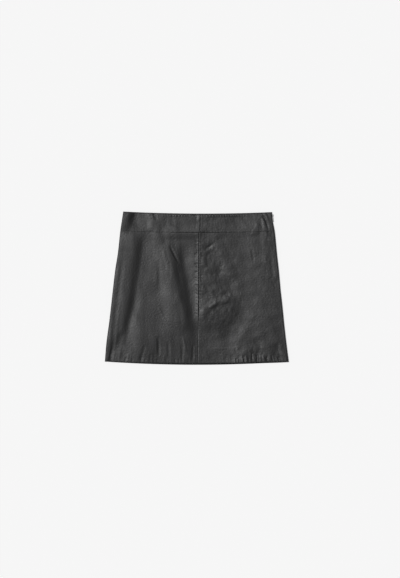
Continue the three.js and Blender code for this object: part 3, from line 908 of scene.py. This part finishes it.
def new_node(tree, kind, inputs, **settings):
    """A node with its settings, and its inputs by name."""
    node = tree.nodes.new(kind)
    for name, value in settings.items():
        setattr(node, name, value)
    for name, value in inputs.items():
        feed(tree, value, node.inputs[name])
    return node


def math_node(tree, operation, *values, clamp=False):
    node = new_node(tree, "ShaderNodeMath", {}, operation=operation, use_clamp=clamp)
    for socket, value in zip(node.inputs, values):
        feed(tree, value, socket)
    return node.outputs[0]


def new_group(name, inputs, outputs):
    group = bpy.data.node_groups.new(name, "ShaderNodeTree")
    for label, kind, default in inputs:
        socket = group.interface.new_socket(label, in_out="INPUT", socket_type=kind)
        if default is not None:
            socket.default_value = default
    for label in outputs:
        group.interface.new_socket(label, in_out="OUTPUT", socket_type="NodeSocketFloat")
    source = group.nodes.new("NodeGroupInput")
    result = group.nodes.new("NodeGroupOutput")
    return group, source.outputs, result.inputs


def leather_grain_group():
    """Pebbled grain, fine wrinkles and cloudy dye of nappa leather."""
    group, source, result = new_group(
        "Nappa grain",
        [
            ("Vector", "NodeSocketVector", None),
            ("Pebbles per metre", "NodeSocketFloat", 700.0),
            ("Wrinkles per metre", "NodeSocketFloat", 170.0),
            ("Wrinkle share", "NodeSocketFloat", 0.5),
        ],
        ["Height", "Cloud", "Pores"],
    )
    place = {"Vector": source["Vector"]}
    pebbles = new_node(
        group,
        "ShaderNodeTexVoronoi",
        {**place, "Scale": source["Pebbles per metre"]},
        feature="SMOOTH_F1",
    )
    wrinkles = new_node(
        group,
        "ShaderNodeTexNoise",
        {**place, "Scale": source["Wrinkles per metre"], **WRINKLE_NOISE},
    )
    cloud = new_node(group, "ShaderNodeTexNoise", {**place, **CLOUD_NOISE})
    folded = math_node(group, "SUBTRACT", wrinkles.outputs["Fac"], GRAIN["middle"])
    folded = math_node(group, "ABSOLUTE", folded)
    folded = math_node(group, "MULTIPLY", folded, GRAIN["wrinkles"])
    folded = math_node(group, "MULTIPLY", folded, source["Wrinkle share"])
    grain = math_node(group, "MULTIPLY", pebbles.outputs["Distance"], GRAIN["pebbles"])
    pores = math_node(group, "SUBTRACT", GRAIN["pore"], pebbles.outputs["Distance"])
    pores = math_node(group, "MULTIPLY", pores, GRAIN["sharpness"], clamp=True)
    feed(group, math_node(group, "ADD", folded, grain), result["Height"])
    feed(group, cloud.outputs["Fac"], result["Cloud"])
    feed(group, pores, result["Pores"])


def weave_group():
    """Crossing threads of a narrow woven tape."""
    group, source, result = new_group(
        "Tape weave",
        [("Vector", "NodeSocketVector", None), ("Wave angle per metre", "NodeSocketFloat", 2600.0)],
        ["Height", "Threads"],
    )
    scale = math_node(group, "DIVIDE", source["Wave angle per metre"], WAVE_ANGLE)
    inputs = {"Vector": source["Vector"], "Scale": scale, **WEAVE_WAVE}
    heights = []
    for direction in ("X", "Y"):
        wave = new_node(group, "ShaderNodeTexWave", inputs, bands_direction=direction)
        heights.append(wave.outputs["Fac"])
    crossed = math_node(group, "MULTIPLY", *heights)
    feed(group, crossed, result["Height"])
    feed(group, math_node(group, "MULTIPLY_ADD", crossed, 0.5, 0.5), result["Threads"])


def new_material(name):
    """The node tree of a new material."""
    material = bpy.data.materials.new(name)
    material.use_nodes = True
    return material.node_tree


def place_group(tree, group, values):
    """Puts a shared group in a material, reading Object coordinates. Returns its outputs."""
    coordinates = tree.nodes.new("ShaderNodeTexCoord")
    node = new_node(tree, "ShaderNodeGroup", {}, node_tree=bpy.data.node_groups[group])
    for name, value in {"Vector": coordinates.outputs["Object"], **values}.items():
        feed(tree, value, node.inputs[name])
    return node.outputs


def set_shader(tree, inputs):
    shader = tree.nodes["Principled BSDF"]
    for name, value in inputs.items():
        feed(tree, value, shader.inputs[name])


def add_bump(tree, height, strength, distance):
    inputs = {"Height": height, "Strength": strength, "Distance": distance}
    set_shader(tree, {"Normal": new_node(tree, "ShaderNodeBump", inputs).outputs["Normal"]})


def mixed_colour(tree, factor, low, high):
    """Mixes two colours. The low one may also come from another node."""
    if not isinstance(low, bpy.types.NodeSocket):
        low = (*low, 1)
    inputs = {"A": low, "B": (*high, 1), "Factor": factor}
    return new_node(tree, "ShaderNodeMix", inputs, data_type="RGBA").outputs["Result"]


def mapped(tree, value, between, low=0.0, high=1.0):
    """Maps a value between two others onto the range from low to high."""
    inputs = {"From Min": between[0], "From Max": between[1], "To Min": low, "To Max": high}
    inputs["Value"] = value
    return new_node(tree, "ShaderNodeMapRange", inputs).outputs["Result"]


def shades(colour, dark=1, pale=1):
    """A darker and a paler shade of a colour."""
    return [tuple(channel * factor for channel in colour) for factor in (dark, pale)]


def leather_material(colours):
    """Dyed nappa: grain, cloudy dye, and a paler colour where it stands proud, partly wear from
    rubbing and partly a painted highlight.
    """
    tree = new_material("Black nappa leather")
    grain = place_group(tree, "Nappa grain", {})
    rubbed_and_highlighted = new_node(tree, "ShaderNodeAttribute", {}, attribute_name="rubbed_and_highlighted")
    cloud = mapped(tree, grain["Cloud"], CLOUD_RANGE)
    dye = mixed_colour(tree, cloud, *shades(colours.leather, dark=0.8, pale=1.25))
    # Paler where the leather stands proud: partly wear from rubbing, partly a painted highlight
    worn_and_highlighted = mapped(tree, rubbed_and_highlighted.outputs["Fac"], (0, 1), high=0.55)
    finish = {
        "Base Color": mixed_colour(tree, worn_and_highlighted, dye, colours.rubbed_and_highlighted),
        "Roughness": mapped(tree, grain["Cloud"], CLOUD_RANGE, low=0.445, high=0.35),
        "IOR": 1.5,
    }
    set_shader(tree, finish)
    add_bump(tree, grain["Height"], strength=0.45, distance=0.0004)


def lacquer_material(colours):
    """Black lacquer over cast metal, which wears a little paler where the grain is proud."""
    tree = new_material("Black lacquered metal")
    pattern = {"Pebbles per metre": 2400.0, "Wrinkles per metre": 900.0, "Wrinkle share": 0.3}
    grain = place_group(tree, "Nappa grain", pattern)
    worn_and_highlighted = mapped(tree, grain["Cloud"], (0.55, 0.75))
    finish = {
        "Base Color": mixed_colour(tree, worn_and_highlighted, *shades(colours.metal, pale=2.6)),
        "Roughness": mapped(tree, grain["Pores"], (0, 1), low=0.42, high=0.3),
        "Metallic": 0.35,
        "Coat Weight": 0.25,
    }
    set_shader(tree, finish)
    add_bump(tree, grain["Height"], strength=0.2, distance=0.00005)


def grained(name, pebbles, tones, finish):
    """A plain material with the leather's grain, in two tones. Returns its tree and grain."""
    tree = new_material(name)
    grain = place_group(tree, "Nappa grain", {"Pebbles per metre": pebbles})
    set_shader(tree, {"Base Color": mixed_colour(tree, grain["Cloud"], *tones), **finish})
    return tree, grain


def woven(name, colour, values, finish):
    """A woven material, in two shades of a colour. Returns its tree and weave."""
    tree = new_material(name)
    weave = place_group(tree, "Tape weave", values)
    threads = mixed_colour(tree, weave["Threads"], *shades(colour, dark=0.6, pale=1.5))
    set_shader(tree, {"Base Color": threads, **finish})
    return tree, weave


def suede_with_painted_shade_material(colours):
    """The leather's flesh side, which shows at the waist opening and inside the hem. Its dark
    colour is partly its own dye and partly painted shade, where it lies in shadow under the front's
    hem and inside the waist opening.
    """
    finish = {"Roughness": 0.95, "Specular IOR Level": 0.2}
    tones = shades(colours.suede_with_painted_shade, dark=0.7, pale=1.3)
    tree, grain = grained("Leather flesh side", 1500.0, tones, finish)
    add_bump(tree, grain["Height"], strength=0.5, distance=0.0003)


def nylon_material(colours):
    tones = shades(colours.tape, pale=1.8)
    tree, grain = grained("Nylon zip teeth", 3000.0, tones, {"Roughness": 0.35})
    add_bump(tree, grain["Height"], strength=0.15, distance=0.00005)


def floor_material(colours):
    """Pale seamless paper. The studio lights it from within a little, so shadows stay light."""
    finish = {"Roughness": 1.0, "Specular IOR Level": 0.0, "Emission Color": (1, 1, 1, 1)}
    grained("Pale studio paper", 400.0, shades(colours.floor, dark=0.995), finish)


def thread_material(colours):
    finish = {"Roughness": 0.5, "Sheen Weight": 0.3}
    tree, weave = woven("Sewing thread", colours.thread, {"Wave angle per metre": 6500.0}, finish)
    add_bump(tree, weave["Height"], strength=0.4, distance=0.00008)


def tape_material(colours):
    tree, weave = woven("Woven zip tape", colours.tape, {}, {"Roughness": 0.85})
    add_bump(tree, weave["Height"], strength=0.6, distance=0.00012)


def ready_materials(context):
    """The shared node groups and every material, made once and found by name."""
    if "Nappa grain" in bpy.data.node_groups:
        return
    leather_grain_group()
    weave_group()
    for make in (
        leather_material,
        suede_with_painted_shade_material,
        thread_material,
        tape_material,
        lacquer_material,
        nylon_material,
        floor_material,
    ):
        make(context.scene.skirt_colours)


# Pieces


def linked(name, mesh, *materials):
    """A new object in the scene, in its materials."""
    piece = bpy.data.objects.new(name, mesh)
    bpy.context.scene.collection.objects.link(piece)
    for material in materials:
        mesh.materials.append(bpy.data.materials[material])
    return piece


def add_cloth(name, mesh, nodes):
    """Places a leather piece: on the garment, in place of its nodes."""
    # The flesh side's colour is partly painted shade where it shows
    piece = linked(name, mesh, "Black nappa leather", "Leather flesh side")
    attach(piece, GARMENT)
    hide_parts(*nodes)
    return piece


class SKIRT_OT_front(bpy.types.Operator):
    """Front pieces and the waistband's front halves, with their folds and creases"""

    bl_idname = "skirt.front"
    bl_label = "Front leather"

    def execute(self, context):
        ready_materials(context)
        sizes = context.scene.skirt_sizes
        pieces = (
            ("leather_front_left", "front_left", -1, False),
            ("leather_front_right", "front_right", 1, False),
            ("leather_waistband_left", "waistband_front_left", -1, True),
            ("leather_waistband_right", "waistband_front_right", 1, True),
        )
        for name, node, side, band in pieces:
            outer, inner = front_wall(side, band, sizes)
            mesh = wall_mesh(name, outer, inner, side > 0)
            # Marks where the leather stands proud, for its paler colour: wear from rubbing and a
            # painted highlight
            mark_rubbed_and_highlighted(mesh, outer[..., 2])
            piece = add_cloth(name, mesh, [node])
        return {"FINISHED"}


class SKIRT_OT_back(bpy.types.Operator):
    """Back piece and the waistband's back, flat on the surface"""

    bl_idname = "skirt.back"
    bl_label = "Back leather"

    def execute(self, context):
        ready_materials(context)
        sizes = context.scene.skirt_sizes
        pieces = (
            ("leather_back", "back_panel", False),
            ("leather_waistband_back", "waistband_back", True),
        )
        for name, node, band in pieces:
            outer, inner = back_wall(band, sizes)
            mesh = wall_mesh(name, outer, inner, True)
            # The same mark of paler leather, wear from rubbing and a painted highlight, here where
            # the back's underside lies lowest
            mark_rubbed_and_highlighted(mesh, -outer[..., 2])
            piece = add_cloth(name, mesh, [node])
        return {"FINISHED"}


def deselect():
    for item in bpy.context.selected_objects:
        item.select_set(False)


def joined_copies(name, model, places):
    """One mesh of many copies of a small model: each place is a 3 by 3 turn and a point."""
    points = np.array([v.co for v in model.vertices])
    faces = [tuple(p.vertices) for p in model.polygons]
    vertices, polygons = [], []
    for turn, point in places:
        start = len(vertices) * len(points)
        vertices.append(points @ np.array(turn).T + np.array(point))
        polygons.extend(tuple(start + i for i in face) for face in faces)
    return smooth_mesh(name, np.concatenate(vertices), polygons)


class SKIRT_OT_stitching(bpy.types.Operator):
    """Edge stitching along the waist, front and back"""

    bl_idname = "skirt.stitching"
    bl_label = "Edge stitching"

    def execute(self, context):
        ready_materials(context)
        sizes = context.scene.skirt_sizes
        deselect()
        bpy.ops.mesh.primitive_uv_sphere_add(segments=8, ring_count=6, radius=0.5)
        ball = context.object
        bpy.ops.object.mode_set(mode="EDIT")
        bpy.ops.mesh.select_all(action="SELECT")
        size = (sizes.stitch_length, sizes.stitch_width, sizes.stitch_width)
        bpy.ops.transform.resize(value=size)
        bpy.ops.object.mode_set(mode="OBJECT")
        self.row(ball.data, sizes, "stitches_waist_front", True)
        self.row(ball.data, sizes, "stitches_waist_back", False)
        bpy.data.objects.remove(ball)
        return {"FINISHED"}

    def row(self, model, sizes, name, front):
        inset = sizes.stitch_inset / MM
        start = float(side_x(-1, np.array(inset))) + STITCH_MARGIN
        end = float(side_x(1, np.array(inset))) - STITCH_MARGIN
        places = []
        for x in spaced(start, end, sizes.stitch_pitch / MM):
            if front and abs(x - WAISTBAND_SEAM_X) < sizes.stitch_length / MM / 2:
                continue
            y = float(line_at(x, inset, front_hem if front else back_hem)) * MM
            angle = math.atan(2 * WAIST_EDGE["curve"] * x / WAIST_EDGE["half_width"] ** 2)
            turn = [
                [math.cos(angle), -math.sin(angle), 0],
                [math.sin(angle), math.cos(angle), 0],
                [0, 0, 1],
            ]
            if front:
                side = "left" if x < WAISTBAND_SEAM_X else "right"
                z = surface_height(f"leather_waistband_{side}", x * MM, y)
                z += sizes.stitch_width / 4
            else:
                z = sizes.stitch_width / 2
            places.append((turn, (x * MM, y, z)))
        piece = linked(name, joined_copies(name, model, places), "Sewing thread")
        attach(piece, GARMENT)


class SKIRT_OT_zip(bpy.types.Operator):
    """Concealed zip: teeth along the tape, and the finish of tape, slider and pull"""

    bl_idname = "skirt.zip"
    bl_label = "Concealed zip"

    def execute(self, context):
        ready_materials(context)
        finishes = {
            "zip_tape": "Woven zip tape",
            "zip_slider": "Black lacquered metal",
            "zip_pull_tab": "Black lacquered metal",
        }
        for node, finish in finishes.items():
            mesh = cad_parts[node].data
            mesh.materials.clear()
            mesh.materials.append(bpy.data.materials[finish])
        self.teeth(context)
        return {"FINISHED"}

    def teeth(self, context):
        sizes = context.scene.skirt_sizes
        deselect()
        bpy.ops.mesh.primitive_cylinder_add(
            vertices=8, radius=TOOTH["radius"] * MM, depth=TOOTH["length"] * MM
        )
        tooth = context.object
        bpy.ops.object.mode_set(mode="EDIT")
        bpy.ops.mesh.select_all(action="SELECT")
        bpy.ops.mesh.bevel(offset=TOOTH["bevel"] * MM, segments=1, affect="EDGES")
        bpy.ops.object.mode_set(mode="OBJECT")
        low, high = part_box("zip_tape")
        middle = (low.z + high.z) / 2
        slider_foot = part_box("zip_slider")[0].y / MM
        first = float(waist_edge(ZIP_WAIST_X)) - slider_foot + TOOTH["first"]
        places = []
        lying = [[0, 0, 1], [0, 1, 0], [-1, 0, 0]]
        for below in np.arange(first, ZIP_LENGTH - 1, sizes.tooth_pitch / MM):
            x = float(side_x(1, np.array(below))) - TOOTH["aside"]
            y = float(line_at(x, below, front_hem))
            places.append((lying, (x * MM, y * MM, middle)))
        mesh = joined_copies("zip_teeth", tooth.data, places)
        bpy.data.objects.remove(tooth)
        piece = linked("zip_teeth", mesh, "Nylon zip teeth")
        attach(piece, GARMENT)


# Studio: the photograph is 400 by 578 pixels, 2.5 mm to a pixel, seen from straight above
PHOTO_WIDTH = 400
PHOTO_HEIGHT = 578
PIXEL = 2.5 * MM
SKIRT_CENTRE_PX = (196.88, 288.12)
LENS = 110
SENSOR = 36
FLOOR = {"size": 8, "below": 0.2 * MM, "glow": 0.509}
KEY_LIGHT = {"towards": (-0.8, 0.45), "elevation": 71, "strength": 1.2, "spread": 12}
WORLD_LIGHT = 0.1
FAR_CLIP = 50


class SKIRT_OT_studio(bpy.types.Operator):
    """Pale floor, soft light from the left, and the camera straight above"""

    bl_idname = "skirt.studio"
    bl_label = "Studio"

    def execute(self, context):
        ready_materials(context)
        deselect()
        bpy.ops.mesh.primitive_plane_add(size=FLOOR["size"], location=(0, 0, -FLOOR["below"]))
        floor = context.object
        floor.name = "floor"
        bpy.ops.object.transform_apply(location=True)
        paper = bpy.data.materials["Pale studio paper"]
        set_shader(paper.node_tree, {"Emission Strength": FLOOR["glow"]})
        floor.data.materials.append(paper)
        self.key_light()
        world = bpy.data.worlds.new("studio")
        world.use_nodes = True
        background = world.node_tree.nodes["Background"]
        background.inputs["Color"].default_value = (1, 1, 1, 1)
        background.inputs["Strength"].default_value = WORLD_LIGHT
        context.scene.world = world
        context.scene.view_settings.view_transform = "Standard"
        self.camera(context)
        return {"FINISHED"}

    def key_light(self):
        """A distant light in a compass direction, at an elevation in degrees."""
        data = bpy.data.lights.new("key", "SUN")
        data.energy = KEY_LIGHT["strength"]
        data.angle = math.radians(KEY_LIGHT["spread"])
        east, north = KEY_LIGHT["towards"]
        tilt = math.radians(90 - KEY_LIGHT["elevation"])
        linked("key", data).rotation_euler = (0, tilt, math.atan2(north, east))

    def camera(self, context):
        data = bpy.data.cameras.new("camera")
        data.lens = LENS
        data.sensor_width = SENSOR
        data.clip_end = FAR_CLIP
        x = (PHOTO_WIDTH / 2 - SKIRT_CENTRE_PX[0]) * PIXEL
        y = (SKIRT_CENTRE_PX[1] - PHOTO_HEIGHT / 2) * PIXEL
        camera = linked("camera", data)
        camera.location = (x, y, PHOTO_HEIGHT * PIXEL * LENS / SENSOR)
        context.scene.camera = camera


class SKIRT_PT_panel(bpy.types.Panel):
    """Sizes, colours and steps of the skirt"""

    bl_label = "Leather Mini Skirt"
    bl_idname = "SKIRT_PT_panel"
    bl_space_type = "VIEW_3D"
    bl_region_type = "UI"
    bl_category = "Skirt"

    def draw(self, context):
        layout = self.layout
        for group in (context.scene.skirt_sizes, context.scene.skirt_colours):
            box = layout.box()
            for name in group.__annotations__:
                box.prop(group, name)
        for operator in OPERATORS:
            layout.operator(operator.bl_idname)


OPERATORS = (
    SKIRT_OT_back,
    SKIRT_OT_front,
    SKIRT_OT_stitching,
    SKIRT_OT_zip,
    SKIRT_OT_studio,
)
CLASSES = (SkirtSizes, SkirtColours, *OPERATORS, SKIRT_PT_panel)


def register():
    for cls in CLASSES:
        bpy.utils.register_class(cls)
    bpy.types.Scene.skirt_sizes = bpy.props.PointerProperty(type=SkirtSizes)
    bpy.types.Scene.skirt_colours = bpy.props.PointerProperty(type=SkirtColours)


def unregister():
    del bpy.types.Scene.skirt_colours
    del bpy.types.Scene.skirt_sizes
    for cls in reversed(CLASSES):
        bpy.utils.unregister_class(cls)


def main():
    register()
    bpy.ops.skirt.back()
    bpy.ops.skirt.front()
    bpy.ops.skirt.stitching()
    bpy.ops.skirt.zip()
    bpy.ops.skirt.studio()
    bpy.context.view_layer.update()


if __name__ == "__main__":
    main()
